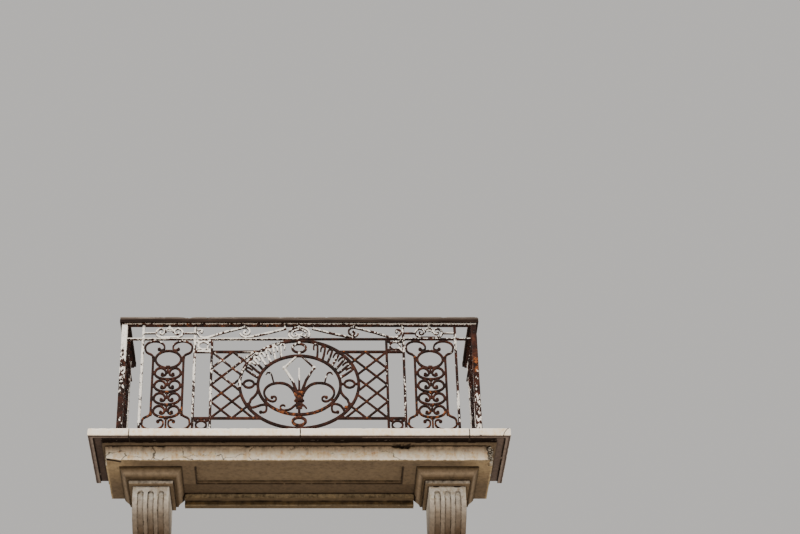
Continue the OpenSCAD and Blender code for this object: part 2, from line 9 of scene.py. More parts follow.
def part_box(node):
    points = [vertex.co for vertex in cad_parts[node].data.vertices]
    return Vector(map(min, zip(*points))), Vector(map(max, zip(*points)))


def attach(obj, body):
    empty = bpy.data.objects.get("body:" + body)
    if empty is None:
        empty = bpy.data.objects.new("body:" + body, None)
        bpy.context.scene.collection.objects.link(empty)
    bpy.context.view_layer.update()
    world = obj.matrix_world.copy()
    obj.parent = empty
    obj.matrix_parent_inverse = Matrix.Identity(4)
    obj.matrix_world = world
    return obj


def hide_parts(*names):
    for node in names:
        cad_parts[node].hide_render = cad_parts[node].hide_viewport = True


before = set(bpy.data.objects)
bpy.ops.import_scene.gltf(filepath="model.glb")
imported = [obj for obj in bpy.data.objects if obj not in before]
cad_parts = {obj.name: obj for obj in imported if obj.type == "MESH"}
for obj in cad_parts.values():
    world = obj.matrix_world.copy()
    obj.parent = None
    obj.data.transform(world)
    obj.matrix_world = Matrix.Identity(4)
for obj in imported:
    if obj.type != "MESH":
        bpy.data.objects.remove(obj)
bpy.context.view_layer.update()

# The camera looks up from in front, far below the floor stones. It stands well back and has a long
# lens, so the posts stay almost upright.
look_up = math.radians(32.27)
camera_data = bpy.data.cameras.new("low_camera")
camera_data.lens = 83.2
camera_data.shift_x = 0.126
camera_data.shift_y = 0.12
camera_data.clip_end = 100
camera = bpy.data.objects.new("low_camera", camera_data)
camera.location = (0.0, -12.03, -6.48)
camera.rotation_euler = (math.radians(90) + look_up, 0, 0)
bpy.context.scene.collection.objects.link(camera)
bpy.context.scene.camera = camera

# Two consoles of grey limestone, each one block with three round-topped flutes down its face. They
# were cut by hand, so the arrises are soft and a little uneven, and they are built in at the back.
# Rain has washed dust down them.
console_x = 1.06
flute_spacing, flute_half = 0.073, 0.021
dust_starts_z, dust_full_after = -0.25, 0.28
carved_step = 0.008
bedded_y = -0.002
same_place = 1e-5


def cad_copy(node):
    """The node's own shape with its loose triangles merged into one skin of flat faces."""
    bm = bmesh.new()
    bm.from_mesh(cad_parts[node].data)
    bmesh.ops.remove_doubles(bm, verts=bm.verts, dist=same_place)
    bmesh.ops.dissolve_limit(bm, angle_limit=math.radians(0.5), verts=bm.verts, edges=bm.edges)
    return bm


def slice_up(bm, step):
    """Cuts the skin into small squares, the longest way first, so that it can be worn."""
    low = Vector([min(v.co[i] for v in bm.verts) for i in range(3)])
    size = Vector([max(v.co[i] for v in bm.verts) - low[i] for i in range(3)])
    for i in sorted(range(3), key=lambda k: -size[k]):
        across = Vector([k == i for k in range(3)])
        count = int(size[i] / step)
        for k in range(1, count + 1):
            place = low + across * (size[i] * k / (count + 1))
            bmesh.ops.bisect_plane(bm, geom=bm.verts[:] + bm.edges[:] + bm.faces[:],
                                   dist=same_place, plane_co=place, plane_no=across)


def uneven(place, falloff, spacing, layers):
    """Noise of about -1 to 1 in layers, each one finer by the spacing and lower by the falloff."""
    return noise.fractal(place, falloff, spacing, layers)


def share_of(distance, full):
    """0 where the distance is nothing or less, rising to 1 where it is full."""
    return min(1.0, max(0.0, distance / full))


def wear(bm, depth, patch, chip=0.0, chip_patch=0.05, seed=0):
    """Sinks the surface by up to depth in patches, and knocks chips out of its edges. Faces that
    are bedded at the back stay flat."""
    bm.normal_update()
    shift = Vector((seed * 3.1, seed * 1.7, seed * 2.3))
    rims = {v for e in bm.edges if e.calc_face_angle(0) > math.radians(20) for v in e.verts}
    spared = 0.12
    moves = []
    for v in bm.verts:
        if v.co.y > bedded_y:
            continue
        waves = uneven(v.co / patch + shift, falloff=0.8, spacing=2.0, layers=4)
        sink = depth * (0.5 + 0.5 * waves)
        if v in rims:
            knock = uneven(v.co / chip_patch - shift, falloff=0.6, spacing=2.2, layers=3)
            sink += chip * max(0.0, knock - spared)
        moves.append((v, v.co - v.normal * max(sink, 0.0)))
    for v, place in moves:
        v.co = place


def finished(bm, name):
    """Turns the shape into an object at the origin, smooth but for its sharp edges."""
    mesh = bpy.data.meshes.new(name)
    bm.to_mesh(mesh)
    bm.free()
    mesh.shade_smooth()
    mesh.set_sharp_from_angle(angle=math.radians(40))
    piece = bpy.data.objects.new(name, mesh)
    bpy.context.scene.collection.objects.link(piece)
    return piece


def put(piece, finish_material, slot, *nodes):
    """Gives the piece its finish, in place of the nodes if there are any. The slot is not used."""
    piece.data.materials.clear()
    piece.data.materials.append(finish_material)
    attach(piece, "root")
    if nodes:
        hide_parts(*nodes)
    return piece


def mark_shade_and_dirt(piece, rule):
    """Marks painted shade, partly dirt, on the stone at each point, 0 to 1."""
    marks = [rule(v.co) for v in piece.data.vertices]
    piece.data.attributes.new("painted_shade_and_dirt", "FLOAT", "POINT").data.foreach_set("value", marks)
    return piece


def linear(hex_colour):
    """An sRGB hex colour as the linear colour that the shader wants."""
    parts = [int(hex_colour[i:i + 2], 16) / 255 for i in (1, 3, 5)]
    return [c / 12.92 if c <= 0.04045 else ((c + 0.055) / 1.055) ** 2.4 for c in parts] + [1.0]


def add(tree, kind, links=None, values=None, stops=None, **settings):
    """Adds a node, sets it up and links it; stops are a colour ramp's places and hex colours."""
    node = tree.nodes.new(kind)
    for key, value in settings.items():
        setattr(node, key, value)
    for socket, value in (values or {}).items():
        node.inputs[socket].default_value = value
    for socket, source in (links or {}).items():
        tree.links.new(source, node.inputs[socket])
    if stops:
        ramp = node.color_ramp.elements
        while len(ramp) < len(stops):
            ramp.new(0.5)
        for element, (place, colour) in zip(ramp, stops):
            element.position = place
            element.color = linear(colour)
    return node


def new_material(name):
    """An empty material with its shader linked to its output."""
    material = bpy.data.materials.new(name)
    material.use_nodes = True
    tree = material.node_tree
    tree.nodes.clear()
    shader = add(tree, "ShaderNodeBsdfPrincipled")
    add(tree, "ShaderNodeOutputMaterial", {"Surface": shader.outputs[0]})
    return material, tree, shader


def per_metre(millimetres):
    """Noise scale whose patches are about this wide."""
    return 1000 / millimetres


# Limestone, sawn or carved, rubbed, and left to the weather: a chalky, matt face with shallow pits,
# blotches where dust clings, long streaks where rain has run down, painted shade in the corners and
# on the faces that look down, and hairline cracks. Its sand grains are under 1 mm and are drawn 4
# mm wide so that they show.
def limestone(name, bands, shade, cracked=0.0, corner_shade_strength=0.9, stained=0.0, corner_reach=0.022):
    """Bands are (metres up, hex colour) for the upright faces, the lowest first. Shade is painted
    shade, partly dirt, for the faces that look down or are marked, (0 to 1, hex colour), the palest
    first."""
    material, tree, shader = new_material(name)
    place = add(tree, "ShaderNodeTexCoord").outputs["Object"]
    apart = add(tree, "ShaderNodeSeparateXYZ", {"Vector": place})
    broad = add(tree, "ShaderNodeTexNoise", {"Vector": place},
                {"Scale": per_metre(190), "Detail": 6.0, "Roughness": 0.62})
    small = add(tree, "ShaderNodeTexNoise", {"Vector": place},
                {"Scale": per_metre(28), "Detail": 5.0, "Roughness": 0.65})
    grain = add(tree, "ShaderNodeTexNoise", {"Vector": place},
                {"Scale": per_metre(4), "Detail": 3.0, "Roughness": 0.6})
    tall = add(tree, "ShaderNodeMapping", {"Vector": place}, {"Scale": (1.0, 1.0, 0.12)})
    streak = add(tree, "ShaderNodeTexNoise", {"Vector": tall.outputs[0]},
                 {"Scale": per_metre(45), "Detail": 4.0, "Roughness": 0.6})

    # The bands follow the height, and waver by the ripple, in metres.
    ripple = 0.012
    level = add(tree, "ShaderNodeMath", {0: small.outputs["Fac"], 2: apart.outputs["Z"]},
                {1: ripple}, operation="MULTIPLY_ADD")
    level = add(tree, "ShaderNodeMath", {0: level.outputs[0]}, {1: -ripple / 2},
                operation="ADD").outputs[0]
    low, high = bands[0][0], bands[-1][0]
    height = add(tree, "ShaderNodeMapRange", {"Value": level}, {"From Min": low, "From Max": high})
    colour = add(tree, "ShaderNodeValToRGB", {"Fac": height.outputs[0]},
                 stops=[((z - low) / (high - low), tint) for z, tint in bands]).outputs[0]
    if stained:
        # A brown water stain reaches further down where both noises are high.
        rising = add(tree, "ShaderNodeMath", {0: small.outputs["Fac"], 2: level}, {1: 0.07},
                     operation="MULTIPLY_ADD")
        rising = add(tree, "ShaderNodeMath", {0: broad.outputs["Fac"], 2: rising.outputs[0]},
                     {1: 0.11}, operation="MULTIPLY_ADD")
        brown = add(tree, "ShaderNodeMapRange", {"Value": rising.outputs[0]},
                    {"From Min": 0.078, "From Max": 0.118, "To Max": stained}, clamp=True)
        colour = add(tree, "ShaderNodeMix", {"Factor": brown.outputs[0], "A": colour},
                     {"B": linear("#836f5a")}, data_type="RGBA").outputs["Result"]

    # Painted shade, partly dirt: faces that look down, and marked faces, take the shade's colours.
    geometry = add(tree, "ShaderNodeNewGeometry")
    facing = add(tree, "ShaderNodeSeparateXYZ", {"Vector": geometry.outputs["Normal"]})
    looks_down = add(tree, "ShaderNodeMapRange", {"Value": facing.outputs["Z"]},
                     {"From Min": -0.35, "From Max": -0.75}, clamp=True)
    marked = add(tree, "ShaderNodeAttribute", attribute_name="painted_shade_and_dirt").outputs["Fac"]
    hidden = add(tree, "ShaderNodeMapRange", {"Value": marked}, {"From Max": 0.1}, clamp=True)
    under = add(tree, "ShaderNodeMath", {0: looks_down.outputs[0], 1: hidden.outputs[0]},
                operation="MAXIMUM")
    blotch = 0.3
    shade_and_dirt_level = add(tree, "ShaderNodeMath", {0: broad.outputs["Fac"], 2: marked}, {1: blotch},
                operation="MULTIPLY_ADD")
    shade_and_dirt_level = add(tree, "ShaderNodeMath", {0: shade_and_dirt_level.outputs[0]}, {1: -blotch / 2}, operation="ADD")
    shaded = add(tree, "ShaderNodeValToRGB", {"Fac": shade_and_dirt_level.outputs[0]}, stops=shade)
    colour = add(tree, "ShaderNodeMix",
                 {"Factor": under.outputs[0], "A": colour, "B": shaded.outputs[0]},
                 data_type="RGBA").outputs["Result"]

    # Three layers of grey lighten and darken it, less so in the shade. #bcbcbc changes nothing.
    upright = add(tree, "ShaderNodeMath", {1: under.outputs[0]}, {0: 1.0}, operation="SUBTRACT")
    in_shade = 0.4
    for source, share, stops in (
            (broad, 0.75, [(0.32, "#87837c"), (0.5, "#bcbcbc"), (0.68, "#d6d4cf")]),
            (small, 0.85, [(0.35, "#7c7a76"), (0.5, "#bcbcbc"), (0.65, "#dad8d2")]),
            (streak, 0.6, [(0.36, "#888886"), (0.5, "#bcbcbc"), (0.66, "#cbc9c4")])):
        tone = add(tree, "ShaderNodeValToRGB", {"Fac": source.outputs["Fac"]}, stops=stops)
        strength = add(tree, "ShaderNodeMath", {0: upright.outputs[0]},
                       {1: (1 - in_shade) * share, 2: in_shade * share}, operation="MULTIPLY_ADD")
        colour = add(tree, "ShaderNodeMix",
                     {"Factor": strength.outputs[0], "A": colour, "B": tone.outputs[0]},
                     data_type="RGBA", blend_type="OVERLAY").outputs["Result"]

    # Cracks run between plates about 150 mm across, wander by up to 90 mm, and lie mostly towards
    # the left end. They are drawn 2 mm wide with soft edges, because a hairline wouldn't show.
    wandering = 0.09
    bent = add(tree, "ShaderNodeTexNoise", {"Vector": place},
               {"Scale": per_metre(70), "Detail": 5.0})
    wander = add(tree, "ShaderNodeVectorMath", {0: bent.outputs["Color"], 2: place},
                 {1: (wandering, wandering, wandering)}, operation="MULTIPLY_ADD")
    lengthwise = add(tree, "ShaderNodeMapping", {"Vector": wander.outputs[0]},
                     {"Scale": (0.6, 1.0, 1.5)})
    plates = add(tree, "ShaderNodeTexVoronoi", {"Vector": lengthwise.outputs[0]},
                 {"Scale": per_metre(150)}, feature="DISTANCE_TO_EDGE")
    hairline = add(tree, "ShaderNodeMapRange", {"Value": plates.outputs["Distance"]},
                   {"From Min": 0.006, "From Max": 0.028, "To Min": cracked, "To Max": 0.0},
                   clamp=True)
    leftwards = add(tree, "ShaderNodeMath", {0: apart.outputs["X"], 2: broad.outputs["Fac"]},
                    {1: -0.06}, operation="MULTIPLY_ADD")
    some = add(tree, "ShaderNodeMapRange", {"Value": leftwards.outputs[0]},
               {"From Min": 0.48, "From Max": 0.54}, clamp=True)
    crack = add(tree, "ShaderNodeMath", {0: hairline.outputs[0], 1: some.outputs[0]},
                operation="MULTIPLY")
    crack = add(tree, "ShaderNodeMath", {0: crack.outputs[0], 1: upright.outputs[0]},
                operation="MULTIPLY")

    # Black dirt fills the cracks, and painted shade darkens the corners out to the corner's reach.
    corner = add(tree, "ShaderNodeAmbientOcclusion", values={"Distance": corner_reach}, samples=8)
    painted_corner_shade = add(tree, "ShaderNodeMapRange", {"Value": corner.outputs["AO"]},
                {"From Min": 0.86, "From Max": 0.5, "To Max": corner_shade_strength}, clamp=True)
    black = add(tree, "ShaderNodeMath", {0: painted_corner_shade.outputs[0], 1: crack.outputs[0]},
                operation="MAXIMUM")
    colour = add(tree, "ShaderNodeMix", {"Factor": black.outputs[0], "A": colour},
                 {"B": linear("#23180f")}, data_type="RGBA").outputs["Result"]
    tree.links.new(colour, shader.inputs["Base Color"])
    shader.inputs["Roughness"].default_value = 0.9
    shader.inputs["Specular IOR Level"].default_value = 0.25

    relief = add(tree, "ShaderNodeMath", {0: small.outputs["Fac"], 1: grain.outputs["Fac"]},
                 operation="ADD")
    relief = add(tree, "ShaderNodeMath", {0: relief.outputs[0], 1: crack.outputs[0]},
                 operation="SUBTRACT")
    bump = add(tree, "ShaderNodeBump", {"Height": relief.outputs[0]},
               {"Strength": 0.4, "Distance": 0.003})
    tree.links.new(bump.outputs[0], shader.inputs["Normal"])
    return material


# The consoles' own limestone: pale grey under the capital, and browner the further down it goes.
console_stone = limestone("grey_limestone",
                          [(-0.67, "#4e4339"), (-0.5, "#5e554c"), (-0.36, "#958a7e"),
                           (-0.25, "#cbc3b8"), (-0.16, "#e2dacf")],
                          [(0.0, "#c2b8ac"), (0.35, "#8a7c6d"), (0.6, "#5d4c3c"), (1.0, "#2c2118")])


def console_shade_and_dust(co):
    """The flutes are marked darker than the arrises as painted shade, and the marks grow downwards
    with the dust.
    """
    across = abs(abs(co.x) - console_x)
    in_flute = min(across, abs(across - flute_spacing)) < flute_half
    return (0.86 if in_flute else 0.66) * share_of(dust_starts_z - co.z, dust_full_after)


for side, seed in (("left", 1), ("right", 2)):
    bm = cad_copy(side + "_bracket")
    slice_up(bm, carved_step)
    wear(bm, depth=0.0015, patch=0.12, chip=0.008, seed=seed)
    console = mark_shade_and_dirt(finished(bm, side + "_console"), console_shade_and_dust)
    put(console, console_stone, "bracket_stone", side + "_bracket")

# A capital over each console: a cyma that widens upwards, over a plain fillet. It is a block of
# limestone of its own, bedded on the console.
fillet_front, fillet_top = -0.414, -0.136
cyma_foot, cyma_turn = -0.125, -0.103

# Limestone gone brown, because the slab above sheds its dirty water on it. The fillet's front is
# pale, black lines of painted shadow mark where the mouldings meet, and the cyma is painted pale in
# the middle and dark above and below, for the shading of its curve.
capital_stone = limestone("stained_limestone",
                          [(-0.165, "#3f3226"), (-0.16, "#a99e91"), (-0.141, "#b4a99c"),
                           (-0.134, "#4a3a2c"), (-0.128, "#7b6650"), (-0.11, "#9c876e"),
                           (-0.095, "#8b755d"), (-0.077, "#745f48"), (-0.07, "#33261b")],
                          [(0.0, "#9c8972"), (0.3, "#7c6a55"), (0.6, "#54442f"), (1.0, "#271b12")])


def capital_shading(co):
    """Painted shade: the fillet's front is unmarked and its other faces dark, the gap over it dark,
    and the cyma darker the further it is from where it turns, for the shading of its curve.
    """
    if co.z < fillet_top:
        return 0.0 if co.y < fillet_front + 0.004 else 0.42
    return min(0.7, 0.12 + 20 * abs(co.z - cyma_turn)) if co.z > cyma_foot else 0.6


for side, seed in (("left", 3), ("right", 4)):
    bm = cad_copy(side + "_bracket_capital")
    slice_up(bm, carved_step)
    wear(bm, depth=0.0015, patch=0.1, chip=0.012, seed=seed)
    capital = mark_shade_and_dirt(finished(bm, side + "_capital"), capital_shading)
    put(capital, capital_stone, "bracket_stone", side + "_bracket_capital")

# The bed moulding runs along the back between the capitals, in two plain steps. It is a course of
# limestone, bedded under the slab.
bed_step = 0.012

# Damp limestone, never in the sun, so it is the brownest of all, with a painted shadow line along
# the top of each step.
bed_stone = limestone("damp_limestone",
                      [(-0.146, "#8f8068"), (-0.139, "#8f8068"), (-0.135, "#55442c"),
                       (-0.108, "#4c3c26"), (-0.102, "#77674f"), (-0.075, "#8a7a60"),
                       (-0.067, "#3a2c1d")],
                      [(0.0, "#5f4f3a"), (1.0, "#2a1e12")])
bm = cad_copy("wall_bed_moulding")
slice_up(bm, bed_step)
wear(bm, depth=0.0015, patch=0.15, chip=0.008, seed=5)
put(finished(bm, "bed_moulding"), bed_stone, "moulded_stone", "wall_bed_moulding")

# The slab is one long moulded block of limestone, bedded on the capitals, with a sunk panel in its
# underside. The left end has lost its lower corner, a piece of the moulding is gone, and the right
# end is down to its rubble core.
slab_step = 0.0115
face_y, end_x = -0.578, 1.378
panel_x, panel_front, panel_back, panel_z = 0.74, -0.48, -0.228, -0.039
moulding_z = 0.0435
front_zone_y = -0.5
margin = 0.004
hole_x, hole_z = 0.745, 0.043
hole_half_width, hole_half_height, hole_deep = 0.09, 0.02, 0.026
hole_small_tooth, hole_large_tooth = 0.018, 0.05
frayed_x, frayed_z, frayed_long, frayed_lump = 1.325, 0.046, 0.055, 0.022
corner_x, corner_z, corner_long, corner_tall, corner_lost = -1.26, -0.03, 0.118, 0.035, 0.022
corner_dark_y = -0.545
paler_x, paler_across, paler_y, paler_back = 1.12, 0.16, -0.2, 0.25

# Its tall plain face is pale at the bottom edge and brown under the floor stones, partly dirt where
# the rain never washes it and partly painted shadow of their overhang. Painted shade lines run
# along its bottom edge and under the moulding, and hairline cracks run over it.
slab_stone = limestone("slab_limestone",
                       [(-0.066, "#2f2318"), (-0.0625, "#5c4a38"), (-0.0595, "#fbf0e0"),
                        (-0.047, "#efdfca"), (0.0, "#dfcfb8"), (0.03, "#c9b79f"),
                        (0.0405, "#9a866e"), (0.0425, "#2b2017"), (0.047, "#3a2c1f"),
                        (0.053, "#6b5845"), (0.066, "#4e3d2c")],
                       [(0.0, "#ab9674"), (0.2, "#8c775a"), (0.42, "#6d5c48"), (0.7, "#4a3b2b"),
                        (1.0, "#180f0a")],
                       cracked=0.85, corner_shade_strength=0.95, stained=0.75, corner_reach=0.013)


def gone(co):
    """How much of the moulding is broken out at a place, 0 to 1."""
    ragged = 0.7 * noise.noise(co / hole_small_tooth) + 0.5 * noise.noise(co / hole_large_tooth)
    away = ((co.x - hole_x) / hole_half_width) ** 2 + ((co.z - hole_z) / hole_half_height) ** 2
    return max(0.0, 0.9 + ragged - away)


def slab_shade_and_dirt(co):
    """Painted shade, partly dirt: dark on the moulding under the floor stones, in the hole, round
    the sunk panel's sides and under the broken left corner. The underside is paler towards its
    front corners."""
    x = abs(co.x)
    if co.z > moulding_z:
        return min(1.0, 0.54 - 0.1 * (co.x > 0.3) + gone(co))
    if co.z > panel_z + 0.002 or co.y < face_y + 0.006 or x > end_x - 0.006:
        return min(1.0, gone(co)) if co.y < front_zone_y else 0.0
    if x < panel_x + margin and panel_front - margin < co.y < panel_back + margin:
        on_side = x > panel_x - margin or co.y > panel_back - margin
        return 1.0 if on_side and co.z < panel_z - 0.016 else 0.4
    if co.x < corner_x - 0.01 and co.y < corner_dark_y:
        return 0.95
    # The underside is paler towards its front corners.
    paler = 0.3 * share_of(x - paler_x, paler_across) * share_of(paler_y - co.y, paler_back)
    return (0.6 if co.y > panel_back and x < 1.1 else 0.44) - paler


bm = cad_copy("balcony_slab")
slice_up(bm, slab_step)
wear(bm, depth=0.002, patch=0.09, chip=0.01, chip_patch=0.07, seed=6)
for v in bm.verts:
    v.co.y += hole_deep * min(1.0, gone(v.co)) * (v.co.y < front_zone_y)
    if abs(v.co.x) > frayed_x and v.co.y < front_zone_y and v.co.z < frayed_z:
        lump = 0.5 + 0.5 * uneven(v.co / frayed_lump, falloff=0.7, spacing=2.0, layers=3)
        reach = (abs(v.co.x) - frayed_x) / frayed_long
        inwards, backwards = (0.05, 0.03) if v.co.x > 0 else (0.014, 0.008)
        v.co.x -= math.copysign(reach * lump * inwards, v.co.x)
        v.co.y += reach * lump * backwards
    if v.co.x < corner_x and v.co.y < front_zone_y and v.co.z < corner_z:
        v.co.z += (corner_lost * (corner_x - v.co.x) / corner_long
                   * (corner_z - v.co.z) / corner_tall)
slab = mark_shade_and_dirt(finished(bm, "moulded_slab"), slab_shade_and_dirt)
put(slab, slab_stone, "moulded_stone", "balcony_slab")

# The rubble core that shows at the right end: lumps of limestone behind the dressed skin, packed by
# hand and laid bare where the skin has come away.
lumps, lump_radius = 44, (0.005, 0.011)
core_x, core_y = (1.343, 1.373), (-0.582, -0.555)
core_low, core_tall = -0.054, 0.09

# Raw broken limestone, greyer than the skin, with black painted shade between the lumps.
rubble_stone = limestone("rubble_limestone", [(-0.07, "#968f83"), (0.05, "#bdb5a8")],
                         [(0.0, "#6a6358"), (1.0, "#1c140e")], corner_shade_strength=1.0)
pick = random.Random(4)
bm = bmesh.new()
for k in range(lumps):
    size = pick.uniform(*lump_radius)
    middle = (pick.uniform(*core_x), pick.uniform(*core_y),
              core_low + core_tall * k / (lumps - 1))
    lump = Matrix.Translation(middle) @ Matrix.Diagonal((size, size, size * 0.8, 1.0))
    bmesh.ops.create_icosphere(bm, subdivisions=2, radius=1.0, matrix=lump)
for v in bm.verts:
    v.co += v.co.normalized() * 0.003 * noise.noise(v.co / 0.012)
put(finished(bm, "broken_end_rubble"), rubble_stone, "moulded_stone")

# Four floor stones with a worn round nose, sawn and laid side by side on the slab with open joints.
# A throat cut under their edge throws the drips off, and it is painted black as shade.
floor_step = 0.0115
joints = (-1.207, 0.008, 1.207)
half_joint, at_joint = 0.003, 1e-4
nose_y, nose_x = -0.7, 1.5
throat_top, lip_top = 0.085, 0.068
nose_deep, drip_edge, lip_deep, end_throat_deep = 0.004, 0.016, 0.034, 0.044
end_zone, pale_lip_x = 0.1, 0.45

# Cream limestone, the palest on the balcony, because the rain washes it clean.
floor_stone = limestone("cream_limestone",
                        [(0.064, "#ecdcca"), (0.08, "#faeddd"), (0.1, "#f6e9d9"),
                         (0.122, "#fbf0e2"), (0.131, "#fdf5ea")],
                        [(0.0, "#d9ccbd"), (0.35, "#82736a"), (0.72, "#54453e"),
                         (0.85, "#362923"), (1.0, "#20140e")],
                        corner_shade_strength=0.6)


def floor_shade(co):
    """Painted shade: none on the nose, dark on the lip under it, and darker in the throat behind
    it.
    """
    from_end = nose_x - abs(co.x)
    inwards = min(co.y - nose_y, from_end)
    if co.z > throat_top or inwards < nose_deep:
        return 0.0
    if inwards < drip_edge:
        return 0.78
    if inwards < lip_deep and co.z < lip_top:
        return 0.35 if co.x < joints[0] or co.x > pale_lip_x else 0.72
    if from_end < end_zone and inwards > end_throat_deep:
        return 0.58 if co.x > 0 else 0.74
    return 1.0


for place in ("left_corner", "left", "right", "right_corner"):
    node = "cap_stone_" + place
    bm = cad_copy(node)
    slice_up(bm, floor_step)
    bm.normal_update()
    edges = [(v, j) for v in bm.verts for j in joints if abs(v.co.x - j) < at_joint]
    low_x, high_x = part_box(node)[0].x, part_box(node)[1].x
    for v, j in edges:
        v.co.x += half_joint if abs(j - low_x) < abs(j - high_x) else -half_joint
    wear(bm, depth=0.0014, patch=0.14, chip=0.005, seed=len(node))
    floor_piece = mark_shade_and_dirt(finished(bm, node.replace("cap", "floor")), floor_shade)
    put(floor_piece, floor_stone, "floor_stone", node)

# Lime mortar fills the joints, pressed in with a trowel and washed out a few millimetres deep along
# the front.
joint_size = (0.008, 0.682, 0.055)
joint_y, joint_z = -0.351, 0.0975
mortar_step = 0.02

# Old lime mortar: darker than the stone, with dirt held in its open grain.
mortar = limestone("lime_mortar", [(0.064, "#33281f"), (0.131, "#4a3d31")],
                   [(0.0, "#33281f"), (1.0, "#1c140e")])
bm = bmesh.new()
for j in joints:
    fill = bmesh.ops.create_cube(bm, size=1.0)["verts"]
    bmesh.ops.scale(bm, verts=fill, vec=joint_size)
    bmesh.ops.translate(bm, verts=fill, vec=(j, joint_y, joint_z))
slice_up(bm, mortar_step)
wear(bm, depth=0.001, patch=0.02, seed=9)
put(finished(bm, "joint_mortar"), mortar, "floor_stone")

# The right corner of the floor broke off once in a quarter round, and was set back with a line of
# the same mortar.
mend_middle = Vector((1.54, -0.6965, 0.05))
mend_inner, mend_outer = 0.0938, 0.0984
mend_proud, mend_deep = -0.0034, 0.006
mend_first, mend_turn = math.radians(9), math.radians(46)
bm = bmesh.new()
start = Vector((-math.cos(mend_first), 0, math.sin(mend_first)))
section = [bm.verts.new(mend_middle + start * r + Vector((0, y, 0)))
           for r, y in ((mend_inner, mend_proud), (mend_outer, mend_proud),
                        (mend_outer, mend_deep), (mend_inner, mend_deep))]
bm.faces.new(section)
bmesh.ops.spin(bm, geom=bm.verts[:] + bm.edges[:] + bm.faces[:], cent=mend_middle, axis=(0, 1, 0),
               angle=mend_turn, steps=14, use_merge=False)
bmesh.ops.recalc_face_normals(bm, faces=bm.faces)
put(finished(bm, "corner_mend"), mortar, "floor_stone")

# Corner posts of 40 mm square bar, forged and once painted off-white. The left one keeps its paint
# at the top and the right one is bare there. Each stands in a square iron foot on a bed of lead.
floor_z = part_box("cap_stone_left")[1].z
rail_y = -0.59
post_x = 1.29
foot_size, foot_middle = (0.07, 0.07, 0.012), 0.005
post_voxel = 0.0035
bar_voxel = 0.0027
kept_share = 0.42
rust_swell = 0.0006
paint_layer, flake_wide, flake_patch = 0.0006, 0.011, 0.07
pit_depth, pit_wide = 0.001, 0.009


def coat(mesh, cover, fresh=None, swell=rust_swell):
    """Pits the iron and lays the paint on it. cover says how much is left at a place, 0 to 1, and
    fresh how new the rust is. Paint lasts best on the faces in front, behind and on top, and the
    dark rust it leaves on the sides and undersides is partly painted shade."""
    paint, rust, places = [], [], []
    for co, normal in [(v.co.copy(), v.normal.copy()) for v in mesh.vertices]:
        run = Vector((co.x, co.y, co.z * 0.45)) / flake_wide
        flake = uneven(run, falloff=0.7, spacing=2.1, layers=3)
        flake += 0.5 * noise.noise(co / flake_patch)
        # Painted shade, partly wear: the sides and undersides lose more paint and show dark rust.
        facing = 0.3 * abs(normal.y) + 0.25 * normal.z - 0.3
        left = max(0.0, min(1.0, 0.5 + (cover(co) - 0.5) * 1.6 - flake * 0.55 + facing))
        paint.append(left)
        rust.append(fresh(co) if fresh else 0.0)
        layer = paint_layer * min(1.0, max(0.0, (left - 0.45) * 10))
        pits = pit_depth * uneven(co / pit_wide, falloff=0.8, spacing=2.0, layers=2) * (1 - left)
        place = co + normal * (swell + layer + min(pits, 0.0))
        place.y = min(place.y, 0.0)
        places.extend(place)
    mesh.vertices.foreach_set("co", places)
    for name, numbers in (("paint", paint), ("fresh", rust)):
        mesh.attributes.new(name, "FLOAT", "POINT").data.foreach_set("value", numbers)
    mesh.shade_smooth()


def forged(node, cover, voxel=bar_voxel, fresh=None, slot="rusted_iron", bm=None, swell=rust_swell):
    """The node's bars, or the given shape in their place, with hammered round edges."""
    bm = bm or cad_copy(node)
    mesh = bpy.data.meshes.new(node + "_plain")
    bm.to_mesh(mesh)
    bm.free()
    plain = bpy.data.objects.new(node + "_plain", mesh)
    bpy.context.scene.collection.objects.link(plain)
    round_off = plain.modifiers.new("round_off", "REMESH")
    round_off.mode = "VOXEL"
    round_off.voxel_size = voxel
    lighten = plain.modifiers.new("lighten", "DECIMATE")
    lighten.ratio = kept_share
    ready = plain.evaluated_get(bpy.context.evaluated_depsgraph_get())
    mesh = bpy.data.meshes.new_from_object(ready)
    bpy.data.objects.remove(plain)
    mesh.name = node + "_iron"
    coat(mesh, cover, fresh, swell)
    piece = bpy.data.objects.new(node + "_iron", mesh)
    bpy.context.scene.collection.objects.link(piece)
    return put(piece, iron_finish, slot, node)


def fitting(bm, name, cover, fresh=None, slot="rusted_iron"):
    """A small part of its own, such as rivet heads or collars."""
    piece = finished(bm, name)
    coat(piece.data, cover, fresh)
    return put(piece, iron_finish, slot)
